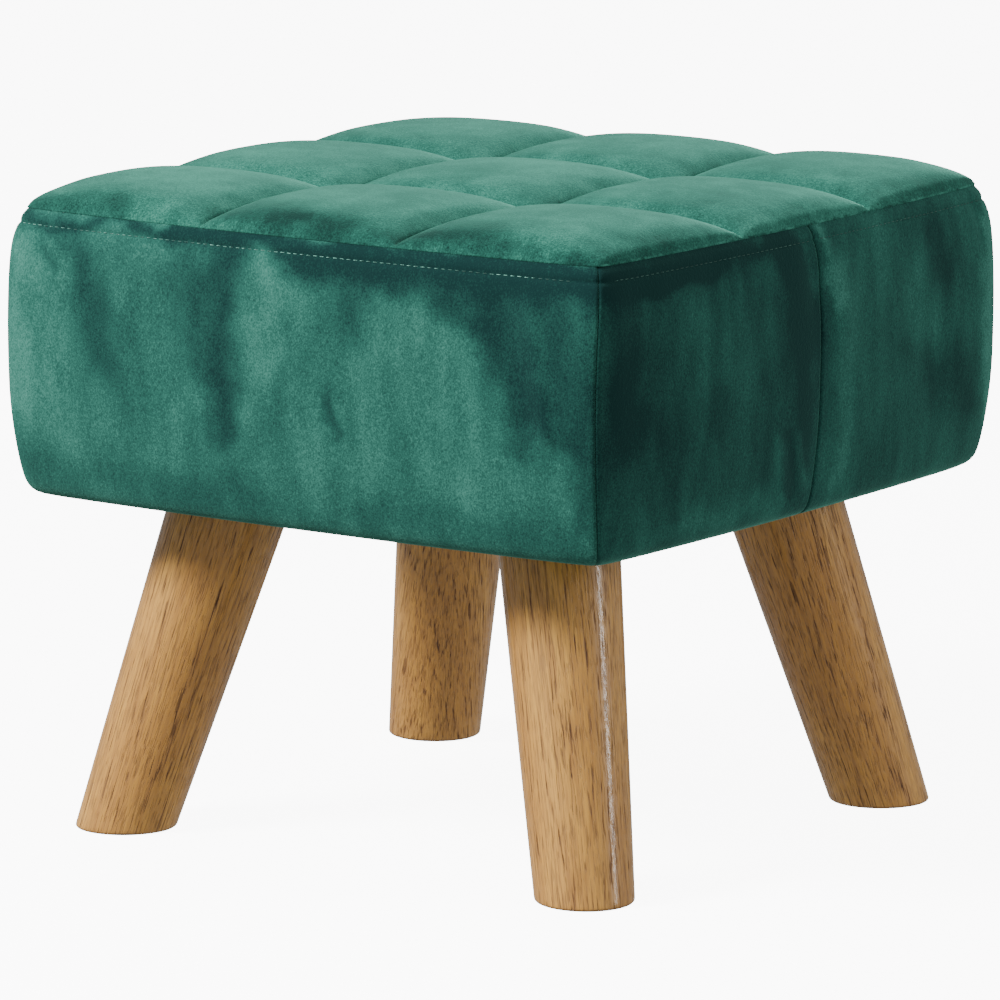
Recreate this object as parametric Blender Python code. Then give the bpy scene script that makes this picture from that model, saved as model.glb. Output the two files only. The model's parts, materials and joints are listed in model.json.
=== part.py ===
"""Quilted cube footstool: a filled square seat with nine sewn crowns, five side panels
round it and four splayed oak legs.  Metres, +Z up, origin on the floor under the centre."""

import math

import bmesh
import bpy
from mathutils import Vector

# ---- driving dimensions ----
SEAM_HEIGHT = 0.2707       # floor to the seam round the top panel
UNDERSIDE = 0.1469         # floor to the flat underside of the seat
SEAM_HALF = 0.1476         # half the top panel's width, at its corners
SEAM_BOW = 0.0048          # how far the middle of each top edge bows out past its corners
CROWN = 0.0110             # rise of each quilted square above its channels
CROWN_SWELL = 2.3          # exponent of the crown across a square
CROWN_ROOT = 0.38          # lower is fuller, with steeper sides to the channel
DOME = 0.0007              # rise of the whole top at its middle
SQUARES = 3                # quilted squares along a side
STEPS_PER_SQUARE = 10      # facets across one square

CLOTH = 0.0020             # thickness of the side panels
LIP = 0.0007               # thickness of the top panel's edge over the side panels
GAP = 0.0003               # between pieces that touch
CORNER_DRAW = 0.0020       # how far the upright corner seams are drawn in
CORNER_SHARPNESS = 16      # exponent that keeps that draw close to the corner
TUCK_HALF = 0.1240         # half the width left open between the hems under the seat
JOIN = 0.0                 # upright join on the right face, 0 at its middle, 1 at its end

LEG_SPREAD_TOP = (0.0838, 0.0832)    # leg axis from the centre, along X and Y, underside
LEG_SPREAD_FOOT = (0.1195, 0.1152)   # the same at the floor
LEG_RADIUS_TOP = 0.0257
LEG_RADIUS_FOOT = 0.0208
LEG_SIDES = 40
LEG_OVERRUN = 0.0200       # left on each end before the level cuts
FOOT_EASE = 0.0012         # eased edge round the foot

# Side panels from the top seam down: height, half width at the corner, bow of the face.
WALL = (
    (SEAM_HEIGHT - LIP - GAP, SEAM_HALF, SEAM_BOW),
    (0.2646, 0.1502, 0.0046),
    (0.2565, 0.1523, 0.0042),
    (0.2450, 0.1532, 0.0040),
    (0.2255, 0.1535, 0.0040),
    (0.2050, 0.1534, 0.0040),
    (0.1915, 0.1532, 0.0040),
    (0.1795, 0.1526, 0.0040),
    (0.1670, 0.1515, 0.0040),
    (0.1570, 0.1502, 0.0040),
    (0.1515, 0.1488, 0.0040),
    (0.1485, 0.1466, 0.0040),
    (0.1471, 0.1438, 0.0036),
    (UNDERSIDE, 0.1400, 0.0030),
    (UNDERSIDE, TUCK_HALF, 0.0),
)

# Soft hollows and ridges of the side cloth: face, place along it from -1 to 1, reach on
# either side, rise outward, and the heights between which it lies, top then bottom.
SLACK = (
    ("front", -0.42, 0.16, -0.0009, 0.262, 0.170),
    ("front", 0.05, 0.20, 0.0006, 0.262, 0.160),
    ("front", 0.55, 0.14, -0.0007, 0.262, 0.200),
    ("right", -0.45, 0.18, 0.0006, 0.262, 0.165),
    ("right", JOIN + 0.10, 0.08, 0.0012, 0.266, 0.205),
    ("right", JOIN, 0.06, -0.0008, 0.266, 0.150),
    ("right", 0.62, 0.18, -0.0007, 0.262, 0.170),
    ("back", -0.30, 0.18, -0.0008, 0.262, 0.170),
    ("back", 0.35, 0.20, 0.0006, 0.262, 0.160),
    ("left", -0.50, 0.16, -0.0007, 0.262, 0.175),
    ("left", 0.20, 0.20, 0.0006, 0.262, 0.160),
)

# Quarter turns that carry the right face onto each face.
TURNS = {"right": 0, "back": 1, "left": 2, "front": 3}

VELVET = ((0.055, 0.235, 0.185, 1.0), 0.85)
OAK = ((0.55, 0.30, 0.11, 1.0), 0.42)


def clear_scene():
    for thing in list(bpy.data.objects):
        bpy.data.objects.remove(thing, do_unlink=True)


def material(name, look):
    colour, roughness = look
    made = bpy.data.materials.new(name)
    made.use_nodes = True
    shader = made.node_tree.nodes["Principled BSDF"]
    shader.inputs["Base Color"].default_value = colour
    shader.inputs["Roughness"].default_value = roughness
    shader.inputs["Metallic"].default_value = 0.0
    made.diffuse_color = colour
    return made


def add_object(name, built, look, smooth_angle):
    """Turns a finished bmesh into a named object with its own material."""
    bmesh.ops.recalc_face_normals(built, faces=built.faces[:])
    mesh = bpy.data.meshes.new(name)
    built.to_mesh(mesh)
    built.free()
    mesh.shade_smooth()
    mesh.set_sharp_from_angle(angle=math.radians(smooth_angle))
    mesh.materials.append(material(name, look))
    made = bpy.data.objects.new(name, mesh)
    bpy.context.scene.collection.objects.link(made)
    return made


def quarter_turn(x, y, turns):
    for _ in range(turns):
        x, y = -y, x
    return x, y


def drawn_in(across, along):
    """How much of the corner's draw reaches this place; 1 at the corner itself."""
    return abs(across * along) ** CORNER_SHARPNESS


def plan(across, along, half, bow):
    """A place on the square, both numbers from -1 to 1, as X and Y."""
    side = half - CORNER_DRAW * drawn_in(across, along)
    x = across * (side + bow * (1 - along * along))
    y = along * (side + bow * (1 - across * across))
    return x, y


def slack(face, along, height):
    """Outward rise of the side cloth at this place."""
    rise = 0.0
    for on_face, place, reach, amount, top, bottom in SLACK:
        if on_face != face or not bottom < height < top:
            continue
        aside = (along - place) / reach
        level = math.sin(math.pi * (height - bottom) / (top - bottom))
        rise += amount * level * math.exp(-aside * aside)
    return rise


def wall_profile(inset):
    """WALL moved inward by inset, square to its own curve, as height, half width, bow."""
    rows = []
    for index, (height, half, bow) in enumerate(WALL):
        above = WALL[max(index - 1, 0)]
        below = WALL[min(index + 1, len(WALL) - 1)]
        run = Vector((below[1] - above[1], below[0] - above[0])).normalized()
        inward = Vector((run.y, -run.x))
        rows.append((height + inward.y * inset, half + inward.x * inset, bow))
    return rows


def wall_point(face, along, row):
    """The world place of one row of the wall, at a place along one face."""
    height, half, bow = row
    x, y = plan(1.0, along, half, bow)
    x += slack(face, along, height)
    x, y = quarter_turn(x, y, TURNS[face])
    return Vector((x, y, height))


def crown(place):
    """Height share across one quilted square, from 0 at a channel to 1 at its middle."""
    return max(0.0, 1.0 - abs(place) ** CROWN_SWELL) ** CROWN_ROOT


def top_point(across, along):
    x, y = plan(across, along, SEAM_HALF, SEAM_BOW)
    dome = DOME * (1 - across * across) * (1 - along * along)
    in_square = [((place + 1) * SQUARES / 2) % 1.0 * 2 - 1 for place in (across, along)]
    rise = CROWN * crown(in_square[0]) * crown(in_square[1])
    return Vector((x, y, SEAM_HEIGHT + dome + rise))


def square_places():
    """Places from -1 to 1 along a whole side, crowded towards the ends of every square."""
    places = [-1.0]
    for square in range(SQUARES):
        middle = (2 * square + 1) / SQUARES - 1
        for step in range(1, STEPS_PER_SQUARE + 1):
            across = math.sin(math.pi * (step / STEPS_PER_SQUARE - 0.5))
            places.append(middle + across / SQUARES)
    return places


def edge_places(places):
    """The seat's edge anticlockwise from the front right corner, as face and place."""
    return [(face, place) for face in TURNS for place in places[:-1]]


def bridge(built, ring, after):
    """Triangles between two closed rings of the same count, all cut along one diagonal."""
    count = len(ring)
    for index in range(count):
        onward = (index + 1) % count
        built.faces.new((ring[index], after[index], after[onward]))
        built.faces.new((ring[index], after[onward], ring[onward]))


def quilted_seat():
    """The filled seat: nine crowns, a thin lip at the seam, then a wall inside the panels."""
    built = bmesh.new()
    places = square_places()
    last = len(places) - 1
    grid = [[built.verts.new(top_point(across, along)) for along in places] for across in places]
    for i in range(last):
        for j in range(last):
            built.faces.new((grid[i][j], grid[i + 1][j], grid[i + 1][j + 1], grid[i][j + 1]))
    rim = [grid[last][j] for j in range(last)]
    rim += [grid[i][last] for i in range(last, 0, -1)]
    rim += [grid[0][j] for j in range(last, 0, -1)]
    rim += [grid[i][0] for i in range(last)]

    wall = wall_profile(CLOTH + GAP)
    shelf = SEAM_HEIGHT - LIP
    lip_row = (shelf, SEAM_HALF, SEAM_BOW)
    shelf_row = (shelf, wall[0][1] - LIP, SEAM_BOW)
    ledge_row = (wall[-1][0], TUCK_HALF - GAP, 0.0)
    underside_row = (UNDERSIDE, TUCK_HALF - GAP, 0.0)
    edge = edge_places(places)
    upper = rim
    for row in [lip_row, shelf_row] + wall[:-1] + [ledge_row, underside_row]:
        lower = [built.verts.new(wall_point(face, place, row)) for face, place in edge]
        bridge(built, upper, lower)
        upper = lower
    built.faces.new(upper)
    return built


def clearance(face, place, end):
    """Half a gap back from the next panel: square to a mitred corner, or to a plain join."""
    if abs(place) == 1:
        step = GAP / 2 / math.sqrt(2)
        x, y = quarter_turn(step, -step * end, TURNS[face])
    else:
        x, y = quarter_turn(0.0, -GAP / 2 * end, TURNS[face])
    return Vector((x, y, 0.0))


def side_panel(face, start, finish):
    """One sheet of cloth between two places on a face, from its hem to the tuck below."""
    built = bmesh.new()
    loop = wall_profile(CLOTH) + wall_profile(0.0)[::-1]
    margin = 1e-6
    between = [place for place in square_places() if start + margin < place < finish - margin]
    rings = []
    for place in [start] + between + [finish]:
        rings.append([built.verts.new(wall_point(face, place, row)) for row in loop])
    for vertex in rings[0]:
        vertex.co += clearance(face, start, -1)
    for vertex in rings[-1]:
        vertex.co += clearance(face, finish, 1)
    for ring, after in zip(rings, rings[1:]):
        bridge(built, ring, after)
    built.faces.new(rings[0])
    built.faces.new(rings[-1])
    return built


def cut_level(built, height, keep_below):
    """A level saw cut through the leg, closed with a flat face."""
    bmesh.ops.bisect_plane(
        built,
        geom=built.verts[:] + built.edges[:] + built.faces[:],
        plane_co=(0.0, 0.0, height),
        plane_no=(0.0, 0.0, 1.0),
        clear_outer=keep_below,
        clear_inner=not keep_below,
    )
    rim = [edge for edge in built.edges if edge.is_boundary]
    bmesh.ops.contextual_create(built, geom=rim)


def leg(side_x, side_y):
    """A turned, tapered leg that splays towards its corner, sawn level at both ends."""
    top_height = UNDERSIDE - GAP
    foot = Vector((side_x * LEG_SPREAD_FOOT[0], side_y * LEG_SPREAD_FOOT[1], 0.0))
    head = Vector((side_x * LEG_SPREAD_TOP[0], side_y * LEG_SPREAD_TOP[1], top_height))
    axis = head - foot
    length = axis.length
    taper = (LEG_RADIUS_TOP - LEG_RADIUS_FOOT) / length
    built = bmesh.new()
    bmesh.ops.create_cone(
        built,
        segments=LEG_SIDES,
        radius1=LEG_RADIUS_FOOT - taper * LEG_OVERRUN,
        radius2=LEG_RADIUS_TOP + taper * LEG_OVERRUN,
        depth=length + 2 * LEG_OVERRUN,
        cap_ends=True,
    )
    bmesh.ops.transform(built, matrix=axis.to_track_quat("Z", "Y").to_matrix().to_4x4(),
                        verts=built.verts)
    bmesh.ops.translate(built, vec=(foot + head) / 2, verts=built.verts)
    cut_level(built, top_height, keep_below=True)
    cut_level(built, 0.0, keep_below=False)
    rim = [edge for edge in built.edges if all(abs(end.co.z) < 1e-6 for end in edge.verts)]
    bmesh.ops.bevel(built, geom=rim, offset=FOOT_EASE, segments=2, profile=0.5,
                    affect="EDGES")
    return built


clear_scene()
add_object("quilted_seat", quilted_seat(), VELVET, 50)
add_object("band_front", side_panel("front", -1, 1), VELVET, 50)
add_object("band_left", side_panel("left", -1, 1), VELVET, 50)
add_object("band_back", side_panel("back", -1, 1), VELVET, 50)
add_object("band_right_near", side_panel("right", -1, JOIN), VELVET, 50)
add_object("band_right_far", side_panel("right", JOIN, 1), VELVET, 50)
add_object("leg_front_left", leg(-1, -1), OAK, 40)
add_object("leg_front_right", leg(1, -1), OAK, 40)
add_object("leg_back_left", leg(-1, 1), OAK, 40)
add_object("leg_back_right", leg(1, 1), OAK, 40)
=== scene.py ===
# %% [markdown]
# # A quilted velvet footstool
# The stool is a square seat with nine sewn squares on top, velvet round its sides, and
# four turned oak legs. Its solids already exist as a plain model. This lesson loads
# them and dresses them: fine cloth, stitches, wood grain, light and a camera.
# The plain model sets every size, so the lesson repeats its measurements in metres.
# Its front faces -Y and its right side faces +X.

import json
import math

import bmesh
import bpy
from mathutils import Matrix, Vector, noise

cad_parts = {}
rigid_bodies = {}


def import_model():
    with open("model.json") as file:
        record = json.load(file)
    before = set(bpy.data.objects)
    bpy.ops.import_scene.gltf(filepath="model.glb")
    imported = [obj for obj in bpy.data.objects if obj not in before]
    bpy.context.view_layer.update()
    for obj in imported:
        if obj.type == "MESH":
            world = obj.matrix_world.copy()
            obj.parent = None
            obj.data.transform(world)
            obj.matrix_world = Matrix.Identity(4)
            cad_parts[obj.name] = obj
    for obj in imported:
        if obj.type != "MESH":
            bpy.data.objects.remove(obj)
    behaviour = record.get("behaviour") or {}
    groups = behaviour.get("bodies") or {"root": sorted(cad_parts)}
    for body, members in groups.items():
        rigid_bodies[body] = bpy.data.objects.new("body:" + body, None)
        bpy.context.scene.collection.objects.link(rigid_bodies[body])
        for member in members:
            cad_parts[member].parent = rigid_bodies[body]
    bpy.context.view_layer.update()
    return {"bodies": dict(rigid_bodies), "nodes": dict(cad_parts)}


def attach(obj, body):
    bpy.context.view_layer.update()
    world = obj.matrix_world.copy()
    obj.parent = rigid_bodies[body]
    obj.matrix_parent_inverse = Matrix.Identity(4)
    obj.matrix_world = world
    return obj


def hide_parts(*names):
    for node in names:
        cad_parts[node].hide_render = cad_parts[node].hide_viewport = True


MM = 1000  # millimetres in a metre

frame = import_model()
BODY = sorted(frame["bodies"])[0]
bpy.ops.object.select_all(action="DESELECT")
print("body:", BODY, "nodes:", sorted(frame["nodes"]))

# %% [markdown]
# ## The camera
# The stool was photographed from slightly above, with one corner towards the lens and
# from far away, so the upright edges stay almost parallel. A long lens does the same
# here. The camera is turned 35 degrees from the front face towards the right one.

# %% Camera
CAMERA_TURN, CAMERA_RISE, CAMERA_TILT = 34.763, 10.48, 0.074
CAMERA_DISTANCE = 3.138
AIM_ASIDE, AIM_HEIGHT = -0.002684, 0.137682
SENSOR_MM, LENS_MM = 36.0, 262.15
FLOOR_SIZE = 60.0


def towards(turn, rise):
    """The direction that is turned from the front face to the right, and raised."""
    turn, rise = math.radians(turn), math.radians(rise)
    return Vector((math.sin(turn) * math.cos(rise), -math.cos(turn) * math.cos(rise),
                   math.sin(rise)))


to_camera = towards(CAMERA_TURN, CAMERA_RISE)
to_right = towards(CAMERA_TURN + 90, 0)
aim = to_right * AIM_ASIDE + Vector((0.0, 0.0, AIM_HEIGHT))

lens = bpy.data.cameras.new("camera")
lens.sensor_width = SENSOR_MM
lens.lens = LENS_MM
lens.clip_end = FLOOR_SIZE
camera = bpy.data.objects.new("camera", lens)
bpy.context.scene.collection.objects.link(camera)
upward = to_camera.cross(to_right)
turned = Matrix((to_right, upward, to_camera)).transposed()
turned = turned @ Matrix.Rotation(math.radians(CAMERA_TILT), 3, "Z")
camera.matrix_world = Matrix.Translation(aim + to_camera * CAMERA_DISTANCE) @ turned.to_4x4()
bpy.context.scene.camera = camera
print("camera at", [round(value, 3) for value in camera.location])

# %% [markdown]
# ## Shader sums
# A finish is easier to read as a sum than as a drawing of boxes and wires. `Value`
# wraps one socket, and each operator on it adds the Math node that does the sum.
# `Finish.node` adds every other kind of node.

# %% Shader helpers
class Value:
    """One socket of a finish, ready for arithmetic."""

    def __init__(self, finish, socket):
        self.finish = finish
        self.socket = socket

    def maths(self, operation, first, second):
        """Adds one Math node and gives back its result."""
        return self.finish.node("Math", {"operation": operation}, {0: first, 1: second})

    def __add__(self, other):
        return self.maths("ADD", self, other)

    def __sub__(self, other):
        return self.maths("SUBTRACT", self, other)

    def __rsub__(self, other):
        return self.maths("SUBTRACT", other, self)

    def __mul__(self, other):
        return self.maths("MULTIPLY", self, other)

    def __pow__(self, other):
        return self.maths("POWER", self, other)


class Finish:
    """A material and the nodes that make it."""

    def __init__(self, name, **uniform):
        self.material = bpy.data.materials.new(name)
        self.material.use_nodes = True
        self.tree = self.material.node_tree
        self.shader = self.tree.nodes["Principled BSDF"]
        for socket, value in uniform.items():
            self.shader.inputs[socket.replace("_", " ")].default_value = value

    def feed(self, socket, value):
        """Links another node's result to a socket, or sets the socket to a number."""
        if isinstance(value, Value):
            self.tree.links.new(value.socket, socket)
        else:
            socket.default_value = value

    def node(self, kind, settings=None, sockets=None, output=0):
        """Adds a node, sets it, feeds it, and gives back one of its outputs."""
        made = self.tree.nodes.new("ShaderNode" + kind)
        for name, value in (settings or {}).items():
            if name == "stops":
                while len(made.color_ramp.elements) < len(value):
                    made.color_ramp.elements.new(0.5)
                for element, (place, colour) in zip(made.color_ramp.elements, value):
                    element.position = place
                    element.color = colour
            else:
                setattr(made, name, value)
        for name, value in (sockets or {}).items():
            self.feed(made.inputs[name], value)
        return Value(self, made.outputs[output])

    def between(self, value, low, high, out_low=0.0, out_high=1.0):
        """Carries low..high onto out_low..out_high with soft ends."""
        return self.node("MapRange", {"interpolation_type": "SMOOTHSTEP"}, {
            "Value": value, "From Min": low, "From Max": high,
            "To Min": out_low, "To Max": out_high})

    def blend(self, share, first, second):
        """Mixes two colours; a share of 0 is all the first, 1 is all the second."""
        return self.node("Mix", {"data_type": "RGBA"}, {0: share, 6: first, 7: second},
                         output=2)

    def grain(self, place, squeeze, scale, detail=2.0, roughness=0.5):
        """A noise from about 0.3 to 0.7, drawn out along Z by a squeeze below 1."""
        squeezed = self.node("Mapping", None, {"Vector": place, "Scale": (1.0, 1.0, squeeze)})
        return self.node("TexNoise", None, {
            "Vector": squeezed, "Scale": scale, "Detail": detail, "Roughness": roughness})

    def object_place(self):
        """The place on the piece, in metres."""
        return self.node("TexCoord", output=3)

    def stored_number(self, name):
        """A number that the piece stores at each of its points."""
        return self.node("Attribute", {"attribute_name": name}, output=2)

    def paint(self, socket, value):
        """Feeds a socket of the finish's own shader."""
        self.feed(self.shader.inputs[socket], value)


print("shader helpers:", Value.__name__, "and", Finish.__name__)

# %% [markdown]
# ## Floor and light
# The stool stands on a white floor that glows, because a white studio floor is lit far
# more brightly than the goods on it. Only the camera sees the glow, so it doesn't light
# the legs from below. The key lamp stands on the left: it lights the front face and the
# legs, and leaves the right face in shade. A wide lamp overhead lights the top. A tall
# narrow lamp, low on the right, draws a gleam down the lacquer of the nearest leg.

# %% Floor
WHITE = (1.0, 1.0, 1.0, 1.0)

bpy.ops.mesh.primitive_grid_add(x_subdivisions=1, y_subdivisions=1, size=FLOOR_SIZE,
                                location=(0.0, 0.0, 0.0))
floor = bpy.context.object
floor.name = "floor"
white_floor = Finish("white_floor", Roughness=1.0, Base_Color=(0.80, 0.80, 0.80, 1.0),
                     Specular_IOR_Level=0.0, Emission_Color=WHITE, Emission_Strength=9.0)
floor.data.materials.append(white_floor.material)
floor.visible_diffuse = floor.visible_glossy = floor.visible_transmission = False
floor.visible_shadow = False

# %% Lamps
SEAT_MIDDLE = Vector((0.0, 0.0, 0.16))


def lamp(name, turn, rise, distance, width, height, power):
    """A soft lamp that faces the seat, in watts, metres and degrees."""
    light = bpy.data.lights.new(name, "AREA")
    light.shape = "RECTANGLE"
    light.size, light.size_y = width, height
    light.energy = power
    away = towards(turn, rise)
    stand = bpy.data.objects.new(name, light)
    bpy.context.scene.collection.objects.link(stand)
    stand.location = SEAT_MIDDLE + away * distance
    stand.rotation_euler = away.to_track_quat("Z", "Y").to_euler()


lamp("key_lamp", turn=-32, rise=40, distance=2.6, width=0.9, height=0.7, power=118)
lamp("top_lamp", turn=-20, rise=78, distance=2.4, width=1.8, height=1.8, power=6)
lamp("strip_lamp", turn=110, rise=17, distance=2.4, width=0.36, height=1.1, power=16)

world = bpy.data.worlds.new("studio")
world.use_nodes = True
backdrop = world.node_tree.nodes["Background"]
backdrop.inputs["Color"].default_value = WHITE
backdrop.inputs["Strength"].default_value = 0.42
bpy.context.scene.world = world

# %% [markdown]
# ## The seat's measurements
# The top panel is a square whose edges bow out a little. Each of its nine squares
# swells between its channels. The sides swell out below the top seam, then turn in
# under the seat. These are the plain model's own numbers, apart from `SETTLED`: cloth
# that is pulled over a soft fill slides sideways a little, and the upright seams bow.

# %% Measurements
SEAM_HEIGHT, UNDERSIDE = 0.2707, 0.1469
SEAM_HALF, SEAM_BOW = 0.1476, 0.0048
CROWN, CROWN_SWELL, CROWN_ROOT, DOME, SQUARES = 0.0110, 2.3, 0.38, 0.0007, 3
CLOTH, LIP, GAP, HAIR = 0.0020, 0.0007, 0.0003, 0.00004
CORNER_DRAW, CORNER_SHARPNESS, PINCH_SHARPNESS = 0.0020, 16, 170
TUCK_HALF = 0.1240

# The side profile from the seam down and under: height, half width, bow.
WALL = (
    (SEAM_HEIGHT - LIP - HAIR, SEAM_HALF, SEAM_BOW), (0.2646, 0.1502, 0.0046),
    (0.2565, 0.1523, 0.0042), (0.2450, 0.1532, 0.0040), (0.2255, 0.1535, 0.0040),
    (0.2050, 0.1534, 0.0040), (0.1915, 0.1532, 0.0040), (0.1795, 0.1526, 0.0040),
    (0.1670, 0.1515, 0.0040), (0.1570, 0.1502, 0.0040), (0.1515, 0.1488, 0.0040),
    (0.1485, 0.1466, 0.0040), (0.1471, 0.1438, 0.0036), (UNDERSIDE, 0.1400, 0.0030),
    (UNDERSIDE, TUCK_HALF, 0.0),
)

# Broad swells of the side cloth: face, place along it from -1 to 1, reach, rise,
# top and bottom height.
SLACK = (
    ("front", -0.42, 0.16, -0.0009, 0.262, 0.170),
    ("front", 0.05, 0.20, 0.0006, 0.262, 0.160),
    ("front", 0.55, 0.14, -0.0007, 0.262, 0.200),
    ("right", -0.45, 0.18, 0.0006, 0.262, 0.165),
    ("right", 0.10, 0.08, 0.0012, 0.266, 0.205),
    ("right", 0.0, 0.06, -0.0008, 0.266, 0.150),
    ("right", 0.62, 0.18, -0.0007, 0.262, 0.170),
    ("back", -0.30, 0.18, -0.0008, 0.262, 0.170),
    ("back", 0.35, 0.20, 0.0006, 0.262, 0.160),
    ("left", -0.50, 0.16, -0.0007, 0.262, 0.175),
    ("left", 0.20, 0.20, 0.0006, 0.262, 0.160),
)

# Where the filled cloth settled: X and Y of the middle, reach, shift in X and Y, swell.
SETTLED = (
    (0.150, -0.150, 0.032, -0.0021, -0.0013, 1.0),
    (0.155, 0.003, 0.034, 0.0, 0.0052, 0.6),
    (-0.150, -0.150, 0.045, -0.0011, -0.0008, 1.0),
    (0.150, 0.150, 0.045, 0.0011, 0.0008, 1.0),
)

# Quarter turns that carry the right side onto each side.
TURNS = {"right": 0, "back": 1, "left": 2, "front": 3}


def quarter_turn(x, y, turns):
    """Turns a place on the floor plan by quarters, anticlockwise from above."""
    for _ in range(turns):
        x, y = -y, x
    return x, y


def plan(across, along, half, bow, pinch=0.0):
    """A place on the square, both numbers from -1 to 1, as X and Y."""
    corner = abs(across * along)
    side = half - CORNER_DRAW * corner ** CORNER_SHARPNESS - pinch * corner ** PINCH_SHARPNESS
    return (across * (side + bow * (1 - along * along)),
            along * (side + bow * (1 - across * across)))


def settle(place):
    """Slides the cloth at an upright seam sideways, most at half height."""
    level = min(max((place.z - UNDERSIDE) / (SEAM_HEIGHT - UNDERSIDE), 0.0), 1.0)
    moved = place.copy()
    for x, y, reach, shift_x, shift_y, swell in SETTLED:
        away = math.hypot(place.x - x, place.y - y) / reach
        share = math.sin(math.pi * level) ** swell * math.exp(-away * away)
        moved += share * Vector((shift_x, shift_y, 0.0))
    return moved


print("top seam, corner to corner:", round(2 * MM * SEAM_HALF), "mm")

# %% [markdown]
# ## Soft strokes
# Two things vary softly over this cloth: how far it stands out in a fold, and which
# way its pile has been brushed. The brushing strokes also carry painted shade and
# painted highlights. Both are written as strokes. A stroke runs between two places and
# fades to its sides, so it has five numbers: two places and a width. Places are
# millimetres along a face from its middle, and millimetres above the floor. On the
# top they are X and Y.

# %% Strokes
def stroke_share(stroke, along, up):
    """How strongly a stroke covers a place, from 0 to 1."""
    x0, y0, x1, y1, width = stroke
    run_x, run_y = x1 - x0, y1 - y0
    share = ((along - x0) * run_x + (up - y0) * run_y) / (run_x * run_x + run_y * run_y)
    held = min(max(share, 0.0), 1.0)
    away = math.hypot(along - x0 - held * run_x, up - y0 - held * run_y) / width
    return math.exp(-away * away)


def strokes_sum(strokes, along, up):
    """All the strokes' amounts at a place, each by how strongly it covers the place."""
    return sum(amount * stroke_share(stroke, along, up) for stroke, amount in strokes)


def wander(along, up, size, seed):
    """A slow random number from about -1 to 1, with features of this size in mm."""
    return noise.noise(Vector((along / size, up / size, seed)))


# Folds: each stroke, then its rise outward in millimetres.
FOLDS = {
    "front": (
        ((117, 252, 127, 200, 4.5), 0.75), ((104, 250, 116, 206, 8), -0.85),
        ((17, 206, 24, 188, 3.0), -0.30), ((23, 208, 30, 189, 3.5), 0.22),
        ((-36, 262, -34, 190, 9), -0.45), ((-20, 258, -17, 210, 8), 0.35),
        ((-134, 262, -128, 246, 3.0), -0.35), ((-127, 262, -121, 243, 3.5), 0.35),
        ((-113, 258, -98, 216, 9), -0.35), ((31, 260, 33, 236, 7), -0.25),
        ((111, 196, 146, 197, 3.5), -0.15), ((60, 260, 57, 225, 9), 0.25),
    ),
    "right": (
        ((4, 270, 9, 246, 2.6), 0.75), ((9, 262, 15, 243, 2.2), 0.35),
        ((-9, 268, -4, 240, 6), -0.45), ((141, 268, 144, 250, 3.0), 0.35),
        ((134, 268, 137, 248, 3.5), -0.35), ((-30, 185, -22, 160, 3.0), 0.22),
        ((-16, 180, -8, 158, 3.0), 0.20), ((-23, 184, -15, 160, 3.0), -0.20),
        ((-140, 255, -136, 205, 6), 0.25), ((92, 205, 100, 180, 9), -0.3),
    ),
    "back": (
        ((-60, 262, -50, 205, 9), -0.5), ((30, 262, 24, 215, 8), 0.35),
        ((120, 258, 128, 215, 5), 0.4), ((-132, 262, -126, 244, 3.5), -0.35),
    ),
    "left": (
        ((-100, 260, -90, 210, 8), -0.45), ((10, 262, 4, 214, 9), 0.35),
        ((84, 262, 92, 208, 8), -0.5), ((134, 262, 129, 244, 3.5), 0.35),
    ),
}
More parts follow.
